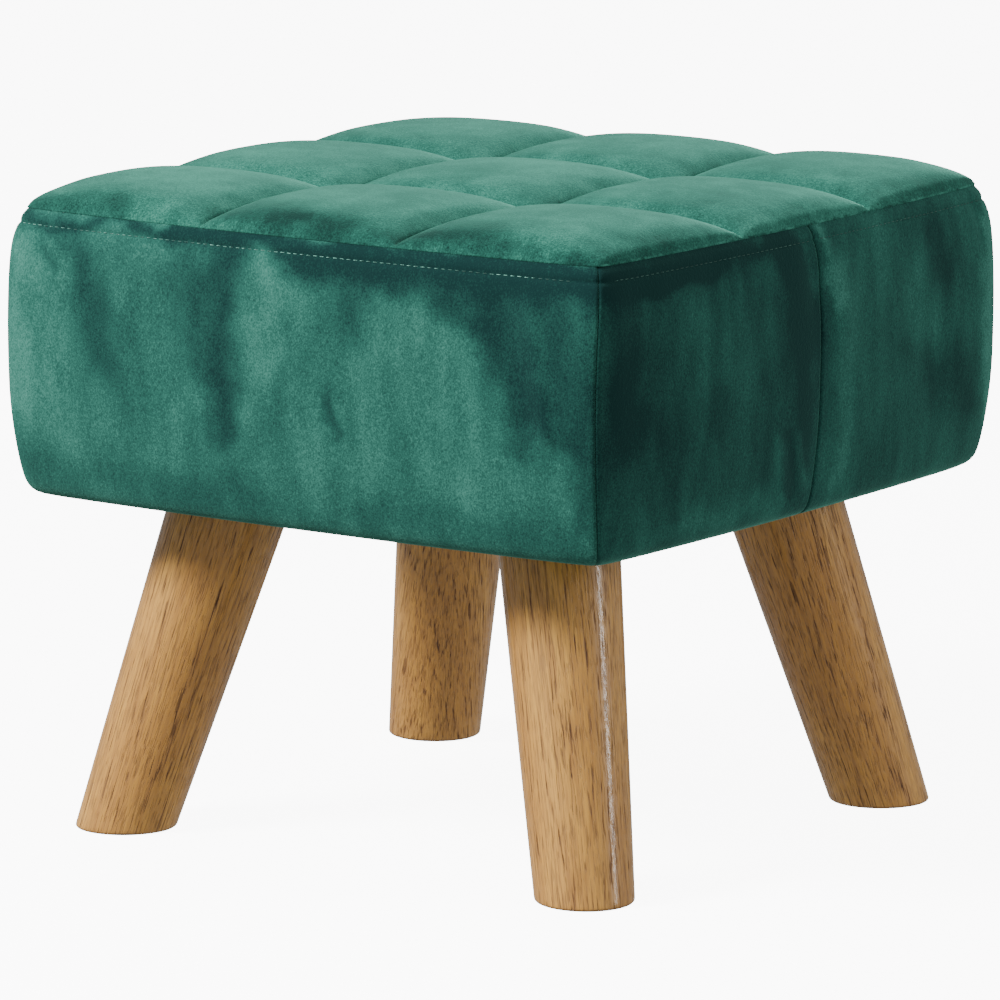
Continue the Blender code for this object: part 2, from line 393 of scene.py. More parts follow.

# Brushed pile, with painted shade and painted highlights: each stroke, then how much
# lighter it looks; a minus makes it darker. Strokes that follow the folds paint shade
# into their hollows and highlights onto their ridges. Painted shade also lies in the
# crease under the top seam, with a darker hem band below it, and along the bottom of the
# front, back and left faces, where the cloth turns under. Painted light lies at the outer
# ends of the front and right faces and along the bottom of the right face.
SIDE_PILE_AND_SHADE = {
    "front": (
        ((-113, 258, -98, 214, 9), -0.75), ((-60, 252, -46, 208, 8), -0.35),
        ((-36, 262, -35, 240, 9), -1.15), ((-35, 225, -34, 190, 8.5), -1.0),
        ((-10, 258, -8, 214, 9), 0.45), ((31, 260, 33, 236, 9), -0.8),
        ((17, 206, 24, 188, 3), -0.8), ((58, 246, 58, 216, 13), 0.35),
        ((70, 260, 95, 238, 7), -0.8), ((100, 246, 118, 208, 8), -0.95),
        ((112, 247, 126, 202, 5), -0.7), ((85, 263, 146, 262, 8), -1.25),
        ((127, 245, 141, 205, 9), -0.45), ((-60, 268, 150, 268, 3.2), -1.8),
        ((-150, 268, -60, 268, 3.0), -1.1), ((0, 261, 150, 262, 5), -1.15),
        ((10, 258, 150, 257, 7), -0.55), ((97, 243, 122, 199, 10), -0.25),
        ((117, 250, 127, 200, 3.5), -0.35), ((136, 248, 146, 175, 8), -0.25),
        ((-52, 258, -48, 236, 8), -0.35), ((-38, 222, -36, 184, 7), -0.25),
        ((-146, 250, -147, 190, 9), 0.65), ((-124, 225, -126, 182, 12), 0.25),
        ((-140, 160, 140, 158, 9), -0.35), ((-64, 264, 150, 264, 3.5), -0.6),
        ((111, 196, 146, 197, 5), -0.4), ((-134, 262, -128, 246, 3), -0.5),
        ((30, 195, 110, 180, 22), 0.15), ((146, 250, 147, 165, 5), -0.45),
    ),
    "right": (
        ((-140, 255, -135, 200, 12), -0.3), ((-20, 264, -8, 232, 10), -0.8),
        ((-147, 266, -70, 267, 7), -0.8), ((-150, 262, -10, 266, 4), -0.5),
        ((-132, 262, -90, 262, 2.0), 0.25),
        ((-8, 235, -6, 170, 6), -0.4), ((-94, 240, -58, 216, 14), 0.35),
        ((-120, 160, -30, 157, 7), 0.5), ((-30, 185, -22, 160, 3), 0.4),
        ((-12, 182, -6, 160, 3), 0.4), ((-22, 184, -15, 160, 3), -0.4),
        ((17, 250, 24, 158, 8), 0.5), ((6, 268, 17, 238, 3.2), 0.95),
        ((74, 208, 122, 184, 12), -0.5), ((144, 255, 147, 170, 5), 1.3),
        ((60, 245, 80, 215, 16), 0.15), ((95, 260, 105, 240, 9), -0.4),
        ((50, 262, 56, 240, 8), 0.3),
    ),
    "back": (
        ((-60, 262, -50, 205, 12), -0.7), ((24, 262, 24, 215, 10), 0.4),
        ((90, 240, 110, 190, 16), -0.4), ((-140, 160, 140, 158, 9), -0.3),
    ),
    "left": (
        ((-100, 260, -90, 210, 12), -0.6), ((4, 262, 4, 214, 12), 0.35),
        ((84, 262, 92, 208, 10), -0.7), ((-140, 160, 140, 158, 9), -0.3),
    ),
}


FACE_HALF_MM = 152
PILE_DEPTH = 1.35


def ramp(distance, reach):
    """Rises from 0 to 1 over a reach, and stays there."""
    return min(1.0, max(0.0, distance / reach))


def fold_rise(face, along, height):
    """How far the side cloth stands out here, in metres; along runs from -1 to 1."""
    rise = 0.0
    for on_face, place, reach, amount, top, bottom in SLACK:
        if on_face == face and bottom < height < top:
            aside = (along - place) / reach
            level = math.sin(math.pi * (height - bottom) / (top - bottom))
            rise += amount * level * math.exp(-aside * aside)
    along_mm, up_mm = along * FACE_HALF_MM, height * MM
    fine = strokes_sum(FOLDS[face], along_mm, up_mm)
    fine += 0.16 * wander(along_mm, up_mm * 0.45, 17, 3.0 * TURNS[face])
    # Every fold dies out at the corners, the underside and the top seam.
    fade = min(1.0, (1 - abs(along)) / 0.03) * ramp(height - UNDERSIDE, 0.012)
    fade *= ramp(SEAM_HEIGHT - height, 0.006)
    return rise + 0.001 * fine * fade


def pile_and_shade_lean(face, along, up):
    """How light nap, painted shade and highlights look here, about -1 to 1; places in mm."""
    seed = 11.0 + 5.0 * TURNS[face]
    # Wandering places give each stroke a ragged edge.
    shift_x = 7 * wander(along, up, 15, seed) + 1.2 * wander(along, up, 4, seed)
    shift_y = 9 * wander(along, up, 21, seed + 2) + 1.6 * wander(along, up, 5, seed)
    lean_and_shade = strokes_sum(SIDE_PILE_AND_SHADE[face], along + shift_x, up + shift_y)
    lean_and_shade += 0.38 * wander(along, up * 0.4, 24, seed + 4)
    lean_and_shade += 0.25 * wander(along, up * 0.35, 8, seed + 6)
    return PILE_DEPTH * math.tanh(lean_and_shade)


print("folds:", sum(len(folds) for folds in FOLDS.values()))

# %% [markdown]
# ## Velvet
# Velvet is short upright pile. Seen straight on it looks dark, because light sinks in
# between the fibres. Seen at a low angle the fibre tips catch light, so it looks pale.
# Sheen does this. The stored number darkens or lightens what a hand has brushed, and
# it also carries painted shade and painted highlights from the strokes. Fine noise gives
# the grain of the pile, which shows least where it is darkest.

# %% Velvet
def velvet(name, deep, middle, pale, nap_share):
    """The velvet's finish in three tones; nap_share says how much its grain shows."""
    finish = Finish(name, Roughness=0.95, Specular_IOR_Level=0.15, Sheen_Weight=0.45,
                    Sheen_Roughness=0.38, Sheen_Tint=(0.30, 0.95, 0.72, 1.0))
    place = finish.object_place()
    # The stored number is brushed pile plus painted shade and painted highlights.
    pile = finish.stored_number("pile")
    cloud = finish.grain(place, 0.45, 90, detail=4.0, roughness=0.6)
    tuft = finish.grain(place, 0.7, 700, detail=3.0, roughness=0.65)
    grit = finish.grain(place, 0.8, 1600, detail=1.0, roughness=0.6)
    nap = (cloud - 0.5) * 0.75 + (tuft - 0.5) * 1.1 + (grit - 0.5) * 1.9
    lean_and_shade = pile * 0.75 + nap * finish.between(pile, -1.4, 0.0, 0.5, 1.0) * nap_share
    colour = finish.node("ValToRGB", {"stops": (
        (0.0, deep), (0.5, middle), (1.0, pale))}, {"Fac": lean_and_shade * 0.5 + 0.5})
    finish.paint("Base Color", colour)
    height = tuft * 0.6 + grit * 0.4
    bump = finish.node("Bump", None, {"Strength": 0.55, "Distance": 0.0006, "Height": height})
    finish.paint("Normal", bump)
    return finish.material


velvet_top = velvet("velvet_top", (0.003, 0.028, 0.022, 1), (0.015, 0.102, 0.074, 1),
                    (0.050, 0.230, 0.168, 1), nap_share=1.25)
velvet_side = velvet("velvet_side", (0.003, 0.025, 0.024, 1), (0.019, 0.108, 0.082, 1),
                     (0.065, 0.245, 0.188, 1), nap_share=0.95)
print("velvet nodes:", len(velvet_top.node_tree.nodes))

# %% [markdown]
# ## The quilted top
# The top panel is sewn to the board below along four channels, and foam pushes each
# square up between them. Nine separate pillows would meet in open cracks, so the
# whole top is one closed pad. Its form comes from the sewing pattern, then a short
# cloth simulation blows it up against the channels, which stay pinned.

# %% Pad form
STEPS = 40  # from one channel to the next


def in_square(place):
    """A place across the whole top as a place across its own square, from -1 to 1."""
    return ((place + 1) * SQUARES / 2) % 1.0 * 2 - 1


def crown(place):
    """How far a square has swelled at a place across it, from 0 to 1."""
    return max(0.0, 1.0 - abs(place) ** CROWN_SWELL) ** CROWN_ROOT


def top_point(across, along):
    """A point of the quilted top, both places from -1 to 1."""
    x, y = plan(across, along, SEAM_HALF, SEAM_BOW)
    dome = DOME * (1 - across * across) * (1 - along * along)
    swell = CROWN * crown(in_square(across)) * crown(in_square(along))
    return Vector((x, y, SEAM_HEIGHT + dome + swell))


def square_places():
    """Places from -1 to 1 across the top, closer together beside every channel."""
    places = [-1.0]
    for square in range(SQUARES):
        for step in range(1, STEPS + 1):
            even = 2 * step / STEPS - 1
            crowded = math.sin(math.pi * even / 2)
            places.append((2 * square + 1 + 0.45 * even + 0.55 * crowded) / SQUARES - 1)
    return places


def wall_rows(inset):
    """The side profile moved in by this much, as height, half width and bow."""
    rows = []
    for index, (height, half, bow) in enumerate(WALL):
        above, below = WALL[max(index - 1, 0)], WALL[min(index + 1, len(WALL) - 1)]
        run = Vector((below[1] - above[1], below[0] - above[0])).normalized()
        rows.append((height - run.x * inset, half + run.y * inset, bow))
    return rows


def wall_point(face, along, row):
    """A point of the fill's side, behind the cloth and with the cloth's folds."""
    height, half, bow = row
    x, y = plan(1.0, along, half, bow)
    x, y = quarter_turn(x + fold_rise(face, along, height), y, TURNS[face])
    return settle(Vector((x, y, height)))


def new_piece(name, built):
    """Turns a built mesh into a piece of the scene."""
    mesh = bpy.data.meshes.new(name)
    built.to_mesh(mesh)
    built.free()
    piece = bpy.data.objects.new(name, mesh)
    bpy.context.scene.collection.objects.link(piece)
    return piece


built = bmesh.new()
places = square_places()
last = len(places) - 1
grid = [[built.verts.new(top_point(across, along)) for along in places] for across in places]
for i in range(last):
    for j in range(last):
        built.faces.new((grid[i][j], grid[i + 1][j], grid[i + 1][j + 1], grid[i][j + 1]))
rim = [grid[last][j] for j in range(last)] + [grid[i][last] for i in range(last, 0, -1)]
rim += [grid[0][j] for j in range(last, 0, -1)] + [grid[i][0] for i in range(last)]
around = [(face, place) for face in TURNS for place in places[:-1]]

# Below the rim comes a rounded lip, then a shelf under it that the side cloth butts
# against, then the fill's side and the turn under the seat.
inner = wall_rows(CLOTH + 2 * GAP)
shelf = SEAM_HEIGHT - LIP
rows = [
    (SEAM_HEIGHT - 0.0003, SEAM_HALF + 0.00015, SEAM_BOW),
    (shelf + 0.0001, SEAM_HALF + 0.00005, SEAM_BOW),
    (shelf, SEAM_HALF, SEAM_BOW),
    (shelf, SEAM_HALF - 0.0001, SEAM_BOW),
    (shelf, inner[0][1] - LIP, SEAM_BOW),
    *inner[:-1],
    (inner[-1][0], TUCK_HALF - GAP, 0.0),
    (UNDERSIDE, TUCK_HALF - GAP, 0.0),
]
upper = rim
for row in rows:
    lower = [built.verts.new(wall_point(face, place, row)) for face, place in around]
    for k in range(len(around)):
        after = (k + 1) % len(around)
        built.faces.new((upper[k], lower[k], lower[after], upper[after]))
    upper = lower
pad = new_piece("quilted_top", built)
print("pad faces:", len(pad.data.polygons))

# %% Blow the squares up
MOMENTS = 20
SMOOTHINGS = 4
MOST_SHIFT = 0.0012


def on_channel(place):
    return abs(abs(in_square(place)) - 1) <= 1e-6


free = {i * (last + 1) + j for i in range(1, last) for j in range(1, last)
        if not on_channel(places[i]) and not on_channel(places[j])}
points = pad.data.vertices
sewn = pad.vertex_groups.new(name="sewn")
sewn.add([v.index for v in points if v.index not in free], 1.0, "REPLACE")
before = [v.co.copy() for v in points]
cloth = pad.modifiers.new("cloth", "CLOTH")
cloth.settings.quality = 6
cloth.settings.mass = 0.25
cloth.settings.tension_stiffness = 18
cloth.settings.compression_stiffness = 12
cloth.settings.shear_stiffness = 6
cloth.settings.bending_stiffness = 0.6
cloth.settings.shrink_min = -0.006
cloth.settings.use_pressure = True
cloth.settings.uniform_pressure_force = 4.0
cloth.settings.vertex_group_mass = "sewn"
cloth.settings.effector_weights.gravity = 0.0
for moment in range(1, MOMENTS + 1):
    bpy.context.scene.frame_set(moment)
blown = pad.evaluated_get(bpy.context.evaluated_depsgraph_get())
shifts = [v.co - start for v, start in zip(blown.data.vertices, before)]
pad.modifiers.remove(cloth)
pad.vertex_groups.clear()
bpy.context.scene.frame_set(1)
neighbours = (-1, 1, -last - 1, last + 1)
for _ in range(SMOOTHINGS):
    shifts = [sum((shifts[k + step] for step in neighbours), shift) / 5
              if k in free else shift for k, shift in enumerate(shifts)]
for vertex, start, shift in zip(points, before, shifts):
    if shift.length > MOST_SHIFT:
        shift *= MOST_SHIFT / shift.length
    vertex.co = start + shift
moved = max((v.co - start).length for v, start in zip(points, before))
print("cloth moved at most", round(MM * moved, 2), "mm")

# %% Pad finish
def finish_piece(piece, material, slot, *nodes):
    """Gives a piece its finish and its body, and hides the solids that it stands for."""
    piece.data.materials.append(material)
    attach(piece, BODY)
    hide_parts(*nodes)


def store_pile_and_shade(piece, pile_at):
    """Stores nap with painted light, or painted light alone, on every point of a piece."""
    layer = piece.data.attributes.new("pile", "FLOAT", "POINT")
    layer.data.foreach_set("value", [pile_at(v.co) for v in piece.data.vertices])


def apply_modifiers(piece):
    """Makes what a piece's modifiers do a part of its mesh."""
    bpy.ops.object.select_all(action="DESELECT")
    piece.select_set(True)
    bpy.context.view_layer.objects.active = piece
    for modifier in list(piece.modifiers):
        bpy.ops.object.modifier_apply(modifier=modifier.name)


# Brushed pile on the top, with painted shade and painted light: each stroke, then how
# much lighter it looks. The dark strokes at the channel crossings and the channel ends
# are painted shade in those hollows. Those along the front and right rims are partly
# crushed pile, partly painted shade on the slopes there. The wide strokes, paler over
# the left and middle squares and darker over the near right one, are painted light and
# shade.
TOP_PILE_AND_SHADE = (
    ((-138, -147, -92, -146, 6), -0.7), ((-120, -138, -104, -137, 7), -0.35),
    ((-36, -147, 20, -147, 6), -0.7), ((-32, -136, -10, -138, 9), -0.55),
    ((62, -146, 100, -147, 6), -0.6), ((62, -134, 84, -138, 9), -0.5),
    ((104, -148, 148, -148, 3), -0.5), ((-60, -120, -54, -140, 5), -0.35),
    ((40, -120, 46, -140, 5), -0.35), ((-46, -52, -40, -60, 6), -0.5),
    ((54, -52, 60, -58, 6), -0.5), ((54, 46, 60, 40, 6), -0.5),
    ((-46, 46, -40, 40, 6), -0.4), ((95, -105, 110, -70, 34), -0.12),
    ((145, -145, 145, 145, 4.5), -0.35), ((-110, -125, -100, -60, 38), 0.30),
    ((-20, 0, 10, 10, 30), 0.15), ((40, -147, 60, -147, 5), -0.4),
)


HIDDEN_PILE = -0.5
FAR_RIM_MM = 146


def top_pile_and_shade(place):
    """How light the nap, painted shade and painted light look on the pad."""
    x, y = MM * place.x, MM * place.y
    if place.z < SEAM_HEIGHT - LIP - 0.0002:
        return HIDDEN_PILE
    if place.z < SEAM_HEIGHT + 0.0001 and (x > FAR_RIM_MM or y > FAR_RIM_MM):
        # The pile stands up in tufts along the right and the back rim, painted mostly paler
        # there: partly tufts, partly a painted highlight on the rim.
        return 0.2 + 1.5 * wander(x, y, 3.5, 46.0) + 1.2 * wander(x, y, 14, 47.0)
    shift_x = 4 * wander(x, y, 14, 40.0) + 3.0 * wander(x, y, 4, 41.0)
    shift_y = 3 * wander(x, y, 13, 42.0) + 3.0 * wander(x, y, 3, 43.0)
    lean_and_shade = strokes_sum(TOP_PILE_AND_SHADE, x + shift_x, y + shift_y)
    lean_and_shade += 0.40 * wander(x, y, 34, 44.0) + 0.30 * wander(x, y, 10, 45.0)
    return 1.5 * lean_and_shade + 0.15


rounding = pad.modifiers.new("rounding", "SUBSURF")
rounding.levels = rounding.render_levels = 1
apply_modifiers(pad)
# The underside is the one open edge: one flat face closes it.
bpy.ops.object.mode_set(mode="EDIT")
bpy.ops.mesh.select_mode(type="EDGE")
bpy.ops.mesh.select_all(action="DESELECT")
bpy.ops.mesh.select_non_manifold()
bpy.ops.mesh.edge_face_add()
bpy.ops.mesh.select_all(action="SELECT")
bpy.ops.mesh.normals_make_consistent(inside=False)
bpy.ops.object.mode_set(mode="OBJECT")
store_pile_and_shade(pad, top_pile_and_shade)
pad.data.shade_smooth()
finish_piece(pad, velvet_top, "velvet_top", "quilted_seat")
print("pad triangles:", sum(len(face.vertices) - 2 for face in pad.data.polygons))

# %% [markdown]
# ## The side cloth
# Five pieces of velvet go round the seat: one for each of three faces, and two that
# join in the middle of the right face. Each is a thin sheet with an outer and an inner
# side. It hangs from the top seam, follows the fill, and turns in under the seat.
# The cloth dips where the topstitching pulls it down and where it enters a seam.

# %% Side profile
PARTS = 24  # of the curve between two rows of WALL
PROFILE_REACH = 6  # parts to each side that give the profile its direction
STITCH_DOWN = 0.0065


def smooth_profile():
    """The side profile as an even curve through WALL, and its length up to each part."""
    fine = []
    for index in range(len(WALL) - 1):
        rows4 = [WALL[min(max(index + k, 0), len(WALL) - 1)] for k in (-1, 0, 1, 2)]
        for part in range(PARTS):
            t = part / PARTS
            fine.append(tuple(
                0.5 * (2 * b + (c - a) * t + (2 * a - 5 * b + 4 * c - d) * t * t
                       + (3 * b - a - 3 * c + d) * t ** 3)
                for a, b, c, d in zip(*rows4)))
    fine.append(WALL[-1])
    lengths = [0.0]
    for first, second in zip(fine, fine[1:]):
        lengths.append(lengths[-1] + math.hypot(second[0] - first[0], second[1] - first[1]))
    return fine, lengths


PROFILE, PROFILE_DOWN = smooth_profile()
CLOTH_LENGTH = PROFILE_DOWN[-1]


def profile_at(down):
    """Height, half width, bow and outward direction, this far down the cloth."""
    down = min(max(down, 0.0), CLOTH_LENGTH)
    index = 0
    while index < len(PROFILE_DOWN) - 2 and PROFILE_DOWN[index + 1] < down:
        index += 1
    span = PROFILE_DOWN[index + 1] - PROFILE_DOWN[index]
    t = (down - PROFILE_DOWN[index]) / span
    height, half, bow = (a + (b - a) * t for a, b in zip(PROFILE[index], PROFILE[index + 1]))
    near = PROFILE[max(index - PROFILE_REACH, 0)]
    far = PROFILE[min(index + 1 + PROFILE_REACH, len(PROFILE) - 1)]
    run = Vector((far[1] - near[1], far[0] - near[0])).normalized()
    return height, half, bow, Vector((-run.y, run.x))


print("cloth from seam to tuck:", round(MM * CLOTH_LENGTH, 1), "mm")

# %% Side sheets
SEAM_PINCH = 0.0010
ALONG_STEP, DOWN_STEP = 0.0020, 0.0019
NEAR_END = (0, .0003, .0006, .001, .0015, .0021, .003, .0042, .006)
NEAR_TOP = (0, .0003, .0007, .0012, .002, .003, .004, .005, .0056, .0061, .0065, .0069,
            .0074, .008, .009, .0105, .0125)


def along_places(length):
    """Distances along a sheet, close together at both ends."""
    middle = length - 2 * NEAR_END[-1]
    count = round(middle / ALONG_STEP)
    return [*NEAR_END, *(NEAR_END[-1] + middle * k / count for k in range(1, count)),
            *(length - value for value in reversed(NEAR_END))]


def down_places():
    """Distances down a sheet, close together at the seam and the topstitching."""
    rest = CLOTH_LENGTH - NEAR_TOP[-1]
    count = round(rest / DOWN_STEP)
    return [*NEAR_TOP, *(NEAR_TOP[-1] + rest * k / count for k in range(1, count + 1))]


def surface_relief(down, from_join):
    """The hem's ridge, and small dips at the topstitching and into an upright join."""
    rise = -0.00045 * math.exp(-((down - STITCH_DOWN) / 0.0010) ** 2)
    rise += 0.00028 * math.exp(-((down - 0.0030) / 0.0020) ** 2)
    rise -= SEAM_PINCH * max(0.0, 1 - from_join / 0.0016) ** 2
    return rise


def cloth_point(face, along, down, inset=0.0, from_join=1.0):
    """A point of the cloth: its outer side, or its inner side with the inset CLOTH."""
    height, half, bow, outward = profile_at(down)
    rise = fold_rise(face, along, height)
    if inset == 0:
        rise += surface_relief(down, from_join)
    rise -= inset
    pinch = SEAM_PINCH if inset == 0 else 0.0
    x, y = plan(1.0, along, half + outward.x * rise, bow, pinch)
    x, y = quarter_turn(x, y, TURNS[face])
    return settle(Vector((x, y, height + outward.y * rise)))


def step_back(face, limit, end):
    """What keeps an end of a sheet half a gap away from the next sheet."""
    if abs(limit) == 1:  # a corner, where two sheets meet at a mitre
        step = GAP / 2 / math.sqrt(2)
        return Vector((*quarter_turn(-step, -step * end, TURNS[face]), 0))
    return Vector((*quarter_turn(0.0, -GAP / 2 * end, TURNS[face]), 0))


def side_cloth(name, face, start, stop):
    """One sheet of velvet between two places on a face, with its own thickness."""
    alongs = [start + value / SEAM_HALF for value in along_places((stop - start) * SEAM_HALF)]
    alongs[-1] = stop
    downs = down_places()
    whole_face = stop - start == 2
    built = bmesh.new()
    sides = []
    for inset in (0.0, CLOTH):
        columns = []
        for index, along in enumerate(alongs):
            from_join = 1.0 if whole_face else abs(along) * SEAM_HALF
            back = Vector((0, 0, 0))
            if index == 0:
                back = step_back(face, start, -1)
            elif index == len(alongs) - 1:
                back = step_back(face, stop, 1)
            columns.append([built.verts.new(
                cloth_point(face, along, down, inset, from_join) + back) for down in downs])
        sides.append(columns)
    outer, lining = sides
    for columns, turn in ((outer, False), (lining, True)):
        for left, right in zip(columns, columns[1:]):
            for k in range(len(downs) - 1):
                corners = (left[k], left[k + 1], right[k + 1], right[k])
                built.faces.new(corners[::-1] if turn else corners)
    for k in range(len(downs) - 1):
        built.faces.new((outer[0][k], lining[0][k], lining[0][k + 1], outer[0][k + 1]))
        built.faces.new((outer[-1][k], outer[-1][k + 1], lining[-1][k + 1], lining[-1][k]))
    for j in range(len(alongs) - 1):
        built.faces.new((outer[j][0], outer[j + 1][0], lining[j + 1][0], lining[j][0]))
        built.faces.new((outer[j][-1], lining[j][-1], lining[j + 1][-1], outer[j + 1][-1]))
    bmesh.ops.recalc_face_normals(built, faces=built.faces[:])
    piece = new_piece(name, built)
    piece.data.shade_smooth()
    piece.data.set_sharp_from_angle(angle=math.radians(60))
    return piece


# Each panel: its face, where it starts and stops along it, and how its pile leans. The
# lean darkens the back and, most, the right face, which the key lamp leaves in shade:
# partly the pile's direction, partly painted shade.
PANELS = {
    "front": ("front", -1, 1, 0.0),
    "left": ("left", -1, 1, 0.0),
    "back": ("back", -1, 1, -0.2),
    "right_near": ("right", -1, 0, -0.85),
    "right_far": ("right", 0, 1, -0.60),
}
BOW_ALLOWANCE = 0.003


def side_pile_and_shade(face, lean_and_shade):
    """The nap, painted shade and highlights of one face, as a number for any point on it."""
    def pile_at(place):
        _, along = quarter_turn(place.x, place.y, (4 - TURNS[face]) % 4)
        return lean_and_shade + pile_and_shade_lean(face, MM * along, MM * place.z)
    return pile_at


for panel, (face, start, stop, lean_and_shade) in PANELS.items():
    sheet = side_cloth("side_cloth_" + panel, face, start, stop)
    store_pile_and_shade(sheet, side_pile_and_shade(face, lean_and_shade))
    finish_piece(sheet, velvet_side, "velvet_side", "band_" + panel)
    width = (stop - start) * (SEAM_HALF + BOW_ALLOWANCE)
    print(sheet.name, "flat", round(MM * width), "x", round(MM * CLOTH_LENGTH), "mm,",
          2 * len(sheet.data.polygons), "triangles")

# %% [markdown]
# ## Topstitching
# A row of green stitches runs just under the top seam and holds the folded edge flat.
# One stitch is a short thread that dips into the cloth at both ends. One is laid on the
# cloth every 3.3 mm. The pile hides parts of the row, so the thread turns dark in
# patches, and the row stops short of the near corner. On the right face, which lies in
# shade, the whole row is painted darker: painted shade.

# %% Stitches
STITCH_PITCH, STITCH_LENGTH, THREAD = 0.0033, 0.0021, 0.00017
STITCH_WOBBLE = 0.00012
STITCH_PARTS = (0.0, 0.12, 0.5, 0.88, 1.0)
THREAD_SIDES = 6
ROW_INSET, ROW_STARTS, ROW_STOPS = 0.003, {"right_near": 0.009}, {"front": 0.013}
# Painted light per face: the right face lies in shade, so its thread is painted darker.
THREAD_PAINTED_LIGHT = {"front": 1.0, "left": 1.0, "back": 1.0, "right": 0.25}

thread = Finish("thread", Roughness=0.6)
thread_place = thread.object_place()
twist = thread.grain(thread_place, 1.0, 900)
patch = thread.grain(thread_place, 1.0, 26)
shows = thread.between(twist, 0.35, 0.65) * thread.between(patch, 0.38, 0.58)
thread.paint("Base Color", thread.blend(
    shows * thread.stored_number("pile"),
    (0.012, 0.070, 0.055, 1), (0.200, 0.500, 0.400, 1)))


def stitch(built, face, middle, down):
    """One stitch as a thin tube that is closed at both ends and dips in there."""
    rings = []
    for part in STITCH_PARTS:
        along = (middle + (part - 0.5) * STITCH_LENGTH) / SEAM_HALF
        here = cloth_point(face, along, down)
        above = cloth_point(face, along, down - 0.0015)
        aside = cloth_point(face, along + 0.003, down)
        up = (above - here).normalized()
        outward = (aside - here).cross(up).normalized()
        if 0 < part < 1:
            lift, radius = THREAD * 0.55 * math.sin(math.pi * part) ** 0.5, THREAD
        else:
            lift, radius = -THREAD, THREAD * 0.55
        centre = here + outward * lift
        rings.append([built.verts.new(
            centre + radius * (outward * math.cos(a) + up * math.sin(a)))
            for a in (math.tau * k / THREAD_SIDES for k in range(THREAD_SIDES))])
    for ring, after in zip(rings, rings[1:]):
        for k in range(THREAD_SIDES):
            turn = (k + 1) % THREAD_SIDES
            built.faces.new((ring[k], ring[turn], after[turn], after[k]))
    built.faces.new(rings[0][::-1])
    built.faces.new(rings[-1])


def stitch_row(panel, face, start, stop):
    """The stitches along one panel, as one piece; gives back how many there are."""
    built = bmesh.new()
    first = start * SEAM_HALF + ROW_STARTS.get(panel, ROW_INSET)
    final = stop * SEAM_HALF - ROW_STOPS.get(panel, ROW_INSET)
    count = round((final - first) / STITCH_PITCH)
    for index in range(count):
        middle = first + (index + 0.5) * (final - first) / count
        wobble = STITCH_WOBBLE * wander(index * 7.3, 0, 5, 60.0 + TURNS[face])
        stitch(built, face, middle, STITCH_DOWN + wobble)
    bmesh.ops.recalc_face_normals(built, faces=built.faces[:])
    row = new_piece("stitches_" + panel, built)
    row.data.shade_smooth()
    row.data.materials.append(thread.material)
    # Each row stores its face's painted light.
    store_pile_and_shade(row, lambda place: THREAD_PAINTED_LIGHT[face])
    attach(row, BODY)
    return count


for panel, (face, start, stop, _) in PANELS.items():
    print("stitches_" + panel, stitch_row(panel, face, start, stop))

# %% [markdown]
# ## Oak
# The legs are turned from solid oak, so the grain runs through them along their
# length. The pattern therefore starts from the timber: rings round a far-off heart,
# open pores as short dark dashes, most of them in the soft early part of each ring, and
# a lacquer that lies thin over the pores. Each leg stores where it lay in its plank, so
# no two show the same figure.

# %% Oak finish
LATE_DARK, LATE_PALE = (0.60, 0.288, 0.052, 1), (0.76, 0.395, 0.076, 1)
EARLY, FIBRE, PORE = (0.34, 0.150, 0.036, 1), (0.36, 0.16, 0.044, 1), (0.105, 0.042, 0.012, 1)
# The pale edge colour is a painted reflection, the dark foot colour painted contact shade.
PAINTED_EDGE_REFLECTION, FOOT_CONTACT_SHADE = (0.62, 0.42, 0.28, 1), (0.12, 0.05, 0.02, 1)
RINGS_PER_METRE = 330


